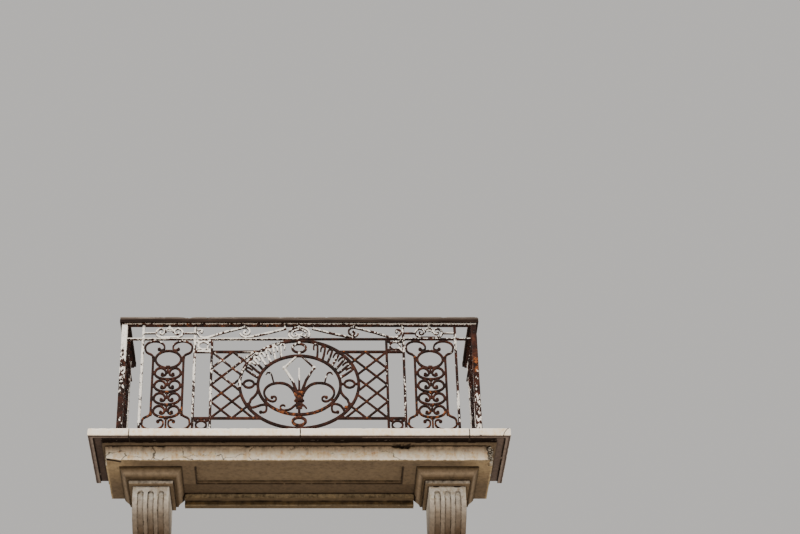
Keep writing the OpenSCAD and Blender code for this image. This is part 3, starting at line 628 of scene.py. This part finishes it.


# Wrought iron, forged and brushed with off-white paint. The paint has a soft sheen and has come off
# in ragged flakes, first from the sides and undersides, where the dark rust is also painted shade.
# The rust under it is matt and dark brown, and orange where it is fresh. No bare metal shows, so it
# is neither metallic nor glossy.
def flaking_iron():
    """Paint where the paint attribute is high, and orange rust where the fresh one is."""
    material, tree, shader = new_material("flaking_paint_on_rusted_iron")
    place = add(tree, "ShaderNodeTexCoord").outputs["Object"]
    left = add(tree, "ShaderNodeAttribute", attribute_name="paint").outputs["Fac"]
    new_rust = add(tree, "ShaderNodeAttribute", attribute_name="fresh").outputs["Fac"]
    edge = add(tree, "ShaderNodeTexNoise", {"Vector": place},
               {"Scale": per_metre(7), "Detail": 4.0, "Roughness": 0.7})
    broad = add(tree, "ShaderNodeTexNoise", {"Vector": place},
                {"Scale": per_metre(60), "Detail": 5.0, "Roughness": 0.6})
    spot = add(tree, "ShaderNodeTexNoise", {"Vector": place},
               {"Scale": per_metre(24), "Detail": 4.0, "Roughness": 0.65})
    torn = add(tree, "ShaderNodeMath", {0: edge.outputs["Fac"], 2: left}, {1: 0.3},
               operation="MULTIPLY_ADD")
    mask = add(tree, "ShaderNodeMapRange", {"Value": torn.outputs[0]},
               {"From Min": 0.64, "From Max": 0.67}, clamp=True)

    rust = add(tree, "ShaderNodeValToRGB", {"Fac": broad.outputs["Fac"]},
               stops=[(0.3, "#120906"), (0.46, "#24130e"), (0.6, "#3d2017"), (0.75, "#613826")])
    bright = add(tree, "ShaderNodeMath", {0: new_rust, 1: spot.outputs["Fac"]}, operation="ADD")
    orange = add(tree, "ShaderNodeMapRange", {"Value": bright.outputs[0]},
                 {"From Min": 0.64, "From Max": 0.8}, clamp=True)
    rusty = add(tree, "ShaderNodeMix", {"Factor": orange.outputs[0], "A": rust.outputs[0]},
                {"B": linear("#9c5a30")}, data_type="RGBA")

    white = add(tree, "ShaderNodeValToRGB", {"Fac": edge.outputs["Fac"]},
                stops=[(0.3, "#8f8578"), (0.42, "#d5cec4"), (0.58, "#f5f1eb")])
    run_off = add(tree, "ShaderNodeMath", {0: new_rust}, {1: 4.0}, operation="MULTIPLY",
                  use_clamp=True)
    white = add(tree, "ShaderNodeMix", {"Factor": run_off.outputs[0], "A": white.outputs[0]},
                {"B": linear("#b58a5e")}, data_type="RGBA")

    colour = add(tree, "ShaderNodeMix",
                 {"Factor": mask.outputs[0], "A": rusty.outputs["Result"],
                  "B": white.outputs["Result"]}, data_type="RGBA")
    dull = add(tree, "ShaderNodeMapRange", {"Value": mask.outputs[0]},
               {"To Min": 0.88, "To Max": 0.6})
    tree.links.new(colour.outputs["Result"], shader.inputs["Base Color"])
    tree.links.new(dull.outputs[0], shader.inputs["Roughness"])
    shader.inputs["Specular IOR Level"].default_value = 0.2
    relief = add(tree, "ShaderNodeMath", {0: mask.outputs[0], 1: edge.outputs["Fac"]},
                 operation="ADD")
    bump = add(tree, "ShaderNodeBump", {"Height": relief.outputs[0]},
               {"Strength": 0.6, "Distance": 0.0015})
    tree.links.new(bump.outputs[0], shader.inputs["Normal"])
    return material


iron_finish = flaking_iron()


def by_height(*steps):
    """Paint left at a height over the floor, from (metres, share) steps."""
    def cover(co):
        h = co.z - floor_z
        for (h0, c0), (h1, c1) in zip(steps, steps[1:]):
            if h <= h1:
                return c0 + (c1 - c0) * max(0.0, h - h0) / (h1 - h0)
        return steps[-1][1]
    return cover


forged("corner_post_left",
       by_height((0, 0.25), (0.27, 0.3), (0.38, 0.46), (0.7, 0.5), (0.82, 0.95), (0.95, 1.0)),
       voxel=post_voxel, slot="painted_iron")
forged("corner_post_right",
       by_height((0, 0.42), (0.25, 0.5), (0.45, 0.36), (0.56, 0.24), (0.7, 0.1), (0.95, 0.12)),
       voxel=post_voxel, slot="painted_iron",
       fresh=lambda co: max(0.0, 0.2 - 1.6 * abs(co.z - floor_z - 0.59)))
bm = bmesh.new()
for x in (-post_x, post_x):
    foot = bmesh.ops.create_cube(bm, size=1.0)["verts"]
    bmesh.ops.scale(bm, verts=foot, vec=foot_size)
    bmesh.ops.translate(bm, verts=foot, vec=(x, rail_y, floor_z + foot_middle))
bmesh.ops.bevel(bm, geom=bm.edges[:], offset=0.003, affect="EDGES", segments=3, profile=0.5,
                material=-1)
bmesh.ops.subdivide_edges(bm, edges=[e for e in bm.edges if e.calc_length() > 0.03], cuts=9,
                          use_grid_fill=True)
fitting(bm, "post_feet", lambda co: 0.3)

# Uprights of 18 mm square bar, and the flat rails that they pass through, punched hot and pinned.
# The left half of the frieze rail is still white. The right half is bare up to the last upright.
outer_upright_x, inner_upright_x = 1.0, 0.7
upper_patch, lower_patch = (0.785, 0.09), (0.29, 0.1)
frieze_rail_h, lattice_rail_h, last_upright_x = 0.78, 0.5, 0.72


def left_upright_paint(co):
    h = co.z - floor_z
    if co.x < -outer_upright_x:
        return 0.25 + 0.42 * min(1.0, h / 0.13)
    return 0.3 + 0.28 * min(1.0, h / 0.4) if co.x < -inner_upright_x else 0.44


def right_upright_paint(co):
    h = co.z - floor_z
    if co.x > outer_upright_x:
        white = [1 - ((h - middle) / half) ** 2 for middle, half in (upper_patch, lower_patch)]
        return 0.34 + 0.32 * max(0.0, *white)
    return 0.42 if co.x > inner_upright_x else 0.26


def rail_paint(co):
    h = co.z - floor_z
    if h < frieze_rail_h:
        return 0.12 if h < lattice_rail_h else 0.25
    return 0.72 if co.x < 0.0 else 0.2 if co.x < last_upright_x else 0.5


forged("front_uprights_left", left_upright_paint, slot="painted_iron")
forged("front_uprights_right", right_upright_paint, slot="painted_iron")
for side in ("left", "right"):
    forged("side_uprights_" + side, by_height((0, 0.85), (0.95, 0.6)), slot="painted_iron")
    forged(side + "_side_rails", by_height((0, 0.1), (0.95, 0.4)))
forged("front_rails", rail_paint, slot="painted_iron")


# The flat bars under the timber, 42 by 10 mm, forged and screwed up into it. The front one's edge
# is still painted, and their undersides are bare.
flat_edge_y = rail_y - 0.009


def flat_paint(co):
    return (0.62 if co.x < 0.6 else 0.78) if co.y < flat_edge_y else 0.25


forged("handrail_flat_front", flat_paint, fresh=lambda co: 0.08 if co.x < 0.1 else 0.03)
for side in ("left", "right"):
    forged("handrail_flat_" + side, lambda co: 0.25)

# Scrollwork of flat bar, forged hot into curls that end in round knobs and tied with collars. It is
# brown and bare below, and white at the top, on the frieze, the canes and the petals.
canes_low, canes_white = 0.47, 0.6
stems_top, petals_low, petals_over, petals_x = 0.4, 0.42, 0.08, 0.15
column_white, column_over = 0.6, 0.2


def column_paint(co):
    h = co.z - floor_z
    return 0.16 + 0.2 * max(0.0, h - column_white) / column_over


def medallion_paint(co):
    h = co.z - floor_z
    if h < canes_low:
        return 0.14
    return 0.66 if co.x < 0.05 and h > canes_white else 0.36


def fleur_paint(co):
    h = co.z - floor_z
    if h < stems_top:
        return 0.08
    white = 0.35 if abs(co.x) > petals_x else 0.68 if co.x < 0.02 else 0.3
    return 0.1 + white * share_of(h - petals_low, petals_over)


forged("frieze_scrolls_left", lambda co: 0.62, slot="painted_iron")
forged("frieze_scrolls_right", lambda co: 0.48, slot="painted_iron")
forged("frieze_centre_scroll", lambda co: 0.6, slot="painted_iron")
for side in ("left", "right"):
    forged("scroll_column_" + side, column_paint, swell=0.0013,
           fresh=lambda co: 0.12 if co.z - floor_z < 0.2 else 0.03)
forged("ring_blocks_left", by_height((0, 0.1), (0.5, 0.25), (0.72, 0.62), (0.8, 0.62)),
       slot="painted_iron")
forged("ring_blocks_right", by_height((0, 0.1), (0.5, 0.25), (0.72, 0.4), (0.8, 0.45)),
       slot="painted_iron")
forged("lattice_left", by_height((0, 0.1), (0.3, 0.12), (0.5, 0.32), (0.7, 0.42)),
       fresh=lambda co: 0.04)
forged("lattice_right", by_height((0, 0.06), (0.7, 0.15)), fresh=lambda co: 0.03)
forged("medallion_outer_ring",
       lambda co: 0.4 if co.x < -0.1 and co.z - floor_z > 0.4 else 0.16, voxel=0.003)
forged("medallion_inner_ring", by_height((0, 0.05), (0.7, 0.14)),
       fresh=lambda co: 0.12 if co.z - floor_z < 0.25 else 0.0)
forged("medallion_small_rings", by_height((0, 0.0), (0.5, 0.15), (0.75, 0.35)),
       fresh=lambda co: 0.12 if co.z - floor_z < 0.3 else 0.0)
forged("medallion_scrolls", medallion_paint, swell=0.002)
forged("fleur_ornament", fleur_paint, fresh=lambda co: 0.08 if co.z - floor_z < 0.3 else 0.0)
for side in ("left", "right"):
    forged(side + "_side_panel", by_height((0, 0.35), (0.95, 0.35)))

# The collar that grips the fleur's bundle of bars: a drum with a round band at each end, shrunk on
# hot. It is the rustiest piece of the railing.
collar_low = floor_z + 0.282
collar_flat = 0.42
collar_outline = [(0.0, 0.0), (0.033, 0.0), (0.037, 0.003), (0.038, 0.009), (0.037, 0.015),
                  (0.032, 0.019), (0.029, 0.024), (0.0275, 0.034), (0.029, 0.045), (0.032, 0.05),
                  (0.037, 0.054), (0.038, 0.065), (0.037, 0.078), (0.033, 0.084), (0.0, 0.086)]
bm = bmesh.new()
line = [bm.verts.new((r, rail_y, collar_low + h)) for r, h in collar_outline]
for a, b in zip(line, line[1:]):
    bm.edges.new((a, b))
bmesh.ops.spin(bm, geom=bm.verts[:] + bm.edges[:], cent=(0, rail_y, 0), axis=(0, 0, 1),
               angle=math.radians(360), steps=40, use_merge=True)
bmesh.ops.remove_doubles(bm, verts=bm.verts, dist=same_place)
bmesh.ops.recalc_face_normals(bm, faces=bm.faces)
for v in bm.verts:
    v.co.y = rail_y + (v.co.y - rail_y) * collar_flat
forged("fleur_collar", lambda co: 0.1, voxel=0.002, fresh=lambda co: 0.13, bm=bm)

# Collars of strip iron that tie the stacked scrolls of each column to one another and to the curls
# above and below, wrapped round hot.
column_x = 0.9585
scrolls, scroll_pitch = 4, 0.1075
tie_deep = 0.023
small_tie, cheek_tie = (0.03, 0.018), (0.021, 0.016)
scroll_h, tie_below, oval_tie_h = 0.522, 0.053, 0.578
cheek_x, cheek_high, cheek_low = 0.111, 0.662, 0.182


def tie(bm, x, h, wide, high):
    """A collar round the bars at x, h up from the floor."""
    band = bmesh.ops.create_cube(bm, size=1.0)["verts"]
    bmesh.ops.scale(bm, verts=band, vec=(wide, tie_deep, high))
    bmesh.ops.translate(bm, verts=band, vec=(x, rail_y, floor_z + h))


bm = bmesh.new()
for sx in (-1, 1):
    for k in range(scrolls):
        tie(bm, sx * column_x, scroll_h - scroll_pitch * k - tie_below, *small_tie)
    tie(bm, sx * column_x, oval_tie_h, *small_tie)
    for reach in (-cheek_x, cheek_x):
        tie(bm, sx * column_x + reach, cheek_high, *cheek_tie)
        tie(bm, sx * column_x + reach, cheek_low, *cheek_tie)
bmesh.ops.bevel(bm, geom=bm.edges[:], offset=0.003, affect="EDGES", segments=2, profile=0.5,
                material=-1)
fitting(bm, "scroll_ties", column_paint, fresh=lambda co: 0.14)

# Rivets of round iron where the lattice bars cross, hammered to a low dome on both faces. They are
# left out where the bars run behind the medallion.
cross_first_x, cross_pitch_x = 0.642, 0.078
cross_first_h, cross_pitch_h = 0.1435, 0.07075
oval_h, oval_half_wide, oval_half_high = 0.433, 0.4435, 0.383
rivet = 0.0085


def boss(bm, x, h, r, out=0.008, proud=0.4):
    """A dome on each face of the bars at x, h up from the floor."""
    for face in (-1, 1):
        dome = bmesh.ops.create_uvsphere(bm, u_segments=14, v_segments=8, radius=1.0)["verts"]
        bmesh.ops.scale(bm, verts=dome, vec=(r, r * proud, r))
        bmesh.ops.translate(bm, verts=dome, vec=(x, rail_y + face * out, floor_z + h))


bm = bmesh.new()
for sx in (-1, 1):
    for across in range(1, 5):
        for up in range(across % 2, 9, 2):
            x, h = cross_first_x - cross_pitch_x * across, cross_first_h + cross_pitch_h * up
            if (x / oval_half_wide) ** 2 + ((h - oval_h) / oval_half_high) ** 2 > 1.02:
                boss(bm, sx * x, h, rivet)
fitting(bm, "lattice_rivets", by_height((0, 0.1), (0.7, 0.2)), fresh=lambda co: 0.16)

# The knobs that the forged curls swell into, upset hot at the end of each bar: on the columns, then
# under the fleur, on the medallion's lower curls, and on the stump of its broken one.
knob, large_knob = 0.0105, 0.0115
scroll_knob_x, scroll_knob_h = 0.039, 0.517
top_knob_x, top_knob_h = 0.07, 0.732
foot_knob_x, foot_knob_h = 0.056, 0.117
fleur_knob, lower_curl_knob, stump_knob = (0.197, 0.319), (0.277, 0.195), (0.338, 0.234)
slim_bar = 0.007
bm = bmesh.new()
for sx in (-1, 1):
    for turn in (-1, 1):
        for k in range(scrolls):
            boss(bm, sx * column_x + turn * scroll_knob_x, scroll_knob_h - scroll_pitch * k, knob)
        boss(bm, sx * column_x + turn * top_knob_x, top_knob_h, large_knob)
        boss(bm, sx * column_x + turn * foot_knob_x, foot_knob_h, large_knob)
    boss(bm, sx * fleur_knob[0], fleur_knob[1], knob)
    boss(bm, sx * lower_curl_knob[0], lower_curl_knob[1], knob, out=slim_bar)
boss(bm, stump_knob[0], stump_knob[1], large_knob, out=slim_bar)
fitting(bm, "scroll_bosses", column_paint, fresh=lambda co: 0.25 if 0.3 < co.x < 0.4 else 0.02)

# A ringed bead in the frieze over each column: a ring of round iron wire about a small ball, forged
# and riveted between the curls.
bead_h = 0.908
bead_ring, bead_wire, bead_ball = 0.018, 0.0045, 0.0075
bm = bmesh.new()
for sx in (-1, 1):
    ring = bmesh.ops.create_circle(bm, segments=8, radius=bead_wire)["verts"]
    bmesh.ops.translate(bm, verts=ring, vec=(sx * column_x + bead_ring, rail_y, floor_z + bead_h))
    bmesh.ops.spin(bm, geom=ring + list({e for v in ring for e in v.link_edges}),
                   cent=(sx * column_x, rail_y, floor_z + bead_h), axis=(0, 1, 0),
                   angle=math.radians(360), steps=28, use_merge=True)
    boss(bm, sx * column_x, bead_h, bead_ball, out=0.001)
bmesh.ops.remove_doubles(bm, verts=bm.verts, dist=same_place)
bmesh.ops.recalc_face_normals(bm, faces=bm.faces)
fitting(bm, "frieze_beads", lambda co: 0.66, slot="painted_iron")

# The bosses at the elbows of the fleur's petals: round iron heads, forged and riveted on. They have
# kept most of their paint.
elbow_x, elbow_h = 0.109, 0.571
bm = bmesh.new()
for sx in (-1, 1):
    boss(bm, sx * elbow_x, elbow_h, large_knob)
fitting(bm, "petal_bosses", lambda co: 0.9 if co.x < 0 else 0.7, slot="painted_iron")

# The handrail is three lengths of square timber, planed, mitred at the corners and screwed up from
# the iron flats. It was never repainted, so it has split along the grain and its top edge is worn.
timber_step = 0.01
grain_long, grain_fine = 0.35, 0.012
groove_deep, split_deep, worn_deep, worn_patch = 0.0015, 0.003, 0.012, 0.06
top_edge_z = 1.11
rail_low, rail_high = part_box("handrail_front")


# Weathered hardwood: matt, dark low down and silver at the top. The silver is where the sun has
# weathered it, and the darkening downwards is partly painted shade. The grain's lines are 1 to 2 mm
# apart and are drawn 7 mm wide so that they show.
def weathered_timber(name, along):
    """Timber whose grain runs along x or y."""
    material, tree, shader = new_material(name)
    place = add(tree, "ShaderNodeTexCoord").outputs["Object"]
    apart = add(tree, "ShaderNodeSeparateXYZ", {"Vector": place})
    stretch = (0.03, 1.0, 1.0) if along == "x" else (1.0, 0.03, 1.0)
    long_way = add(tree, "ShaderNodeMapping", {"Vector": place}, {"Scale": stretch})
    grain = add(tree, "ShaderNodeTexNoise", {"Vector": long_way.outputs[0]},
                {"Scale": per_metre(7), "Detail": 6.0, "Roughness": 0.7})
    band = add(tree, "ShaderNodeTexNoise", {"Vector": long_way.outputs[0]},
               {"Scale": per_metre(30), "Detail": 3.0})
    # Painted shade, partly weathering: the rail is darker the lower it is and silver near the top.
    high = add(tree, "ShaderNodeMapRange", {"Value": apart.outputs["Z"]},
               {"From Min": rail_low.z + 0.014, "From Max": rail_high.z - 0.002})
    bleach_and_shade = add(tree, "ShaderNodeMath", {0: high.outputs[0], 1: band.outputs["Fac"]},
                   operation="ADD")
    silver_and_shade = add(tree, "ShaderNodeMapRange", {"Value": bleach_and_shade.outputs[0]},
                 {"From Min": 0.6, "From Max": 1.35}, clamp=True)
    dark = add(tree, "ShaderNodeValToRGB", {"Fac": grain.outputs["Fac"]},
               stops=[(0.32, "#0f0704"), (0.5, "#21140e"), (0.68, "#3a2a20")])
    pale = add(tree, "ShaderNodeValToRGB", {"Fac": grain.outputs["Fac"]},
               stops=[(0.32, "#40362f"), (0.5, "#685d54"), (0.68, "#91867c")])
    colour = add(tree, "ShaderNodeMix",
                 {"Factor": silver_and_shade.outputs[0], "A": dark.outputs[0], "B": pale.outputs[0]},
                 data_type="RGBA")
    tree.links.new(colour.outputs["Result"], shader.inputs["Base Color"])
    shader.inputs["Roughness"].default_value = 0.85
    shader.inputs["Specular IOR Level"].default_value = 0.12
    bump = add(tree, "ShaderNodeBump", {"Height": grain.outputs["Fac"]},
               {"Strength": 0.6, "Distance": 0.002})
    tree.links.new(bump.outputs[0], shader.inputs["Normal"])
    return material


for part, along in (("front", "x"), ("left", "y"), ("right", "y")):
    bm = cad_copy("handrail_" + part)
    slice_up(bm, timber_step)
    bm.normal_update()
    wide, deep = (grain_long, grain_fine) if along == "x" else (grain_fine, grain_long)
    moves = []
    for v in bm.verts:
        if v.co.y > bedded_y:
            continue
        lined = Vector((v.co.x / wide, v.co.y / deep, v.co.z / grain_fine))
        groove = 0.5 + 0.5 * noise.noise(lined)
        split = max(0.0, 0.1 - abs(noise.noise(lined * 0.45 + Vector((7, 3, 1))))) * 10
        worn = 0.0
        if v.co.z > top_edge_z:
            waves = uneven(v.co / worn_patch, falloff=0.8, spacing=2.0, layers=3)
            worn = max(0.0, waves - 0.25)
        sink = groove_deep * groove + split_deep * split + worn_deep * worn
        moves.append((v, v.co - v.normal * sink))
    for v, place in moves:
        v.co = place
    timber = weathered_timber("weathered_timber_" + part, along)
    put(finished(bm, "timber_rail_" + part), timber, "timber", "handrail_" + part)

# The studio floor far below: board painted matt white, which gives back a soft, even light and
# isn't part of the balcony.
ground_z = -7.6
bm = bmesh.new()
bmesh.ops.create_grid(bm, x_segments=1, y_segments=1, size=60)
bmesh.ops.translate(bm, verts=bm.verts, vec=(0, 0, ground_z))
ground = finished(bm, "studio_floor")
ground_finish, tree, shader = new_material("matt_white_board")
shader.inputs["Base Color"].default_value = linear("#efece7")
shader.inputs["Roughness"].default_value = 0.9
ground.data.materials.append(ground_finish)


# A broad soft light high in front, a weak one from below, for what a pale ground throws up, and
# plain pale surroundings.
def soft_light(name, place, aim, width, power, colour):
    data = bpy.data.lights.new(name, "AREA")
    data.shape = "DISK"
    data.size = width
    data.energy = power
    data.color = linear(colour)[:3]
    lamp = bpy.data.objects.new(name, data)
    lamp.location = place
    lamp.rotation_euler = (Vector(aim) - Vector(place)).to_track_quat("-Z", "Y").to_euler()
    bpy.context.scene.collection.objects.link(lamp)


soft_light("high_light", (-2.5, -6.0, 6.5), aim=(0, -0.3, 0.2), width=5.0, power=1150,
           colour="#fffaf2")
soft_light("ground_bounce", (1.0, -5.0, -5.5), aim=(0, -0.3, 0), width=5.0, power=150,
           colour="#f3e3cd")

world = bpy.data.worlds.new("studio")
world.use_nodes = True
world.node_tree.nodes["Background"].inputs["Color"].default_value = linear("#efece8")
world.node_tree.nodes["Background"].inputs["Strength"].default_value = 0.68
bpy.context.scene.world = world
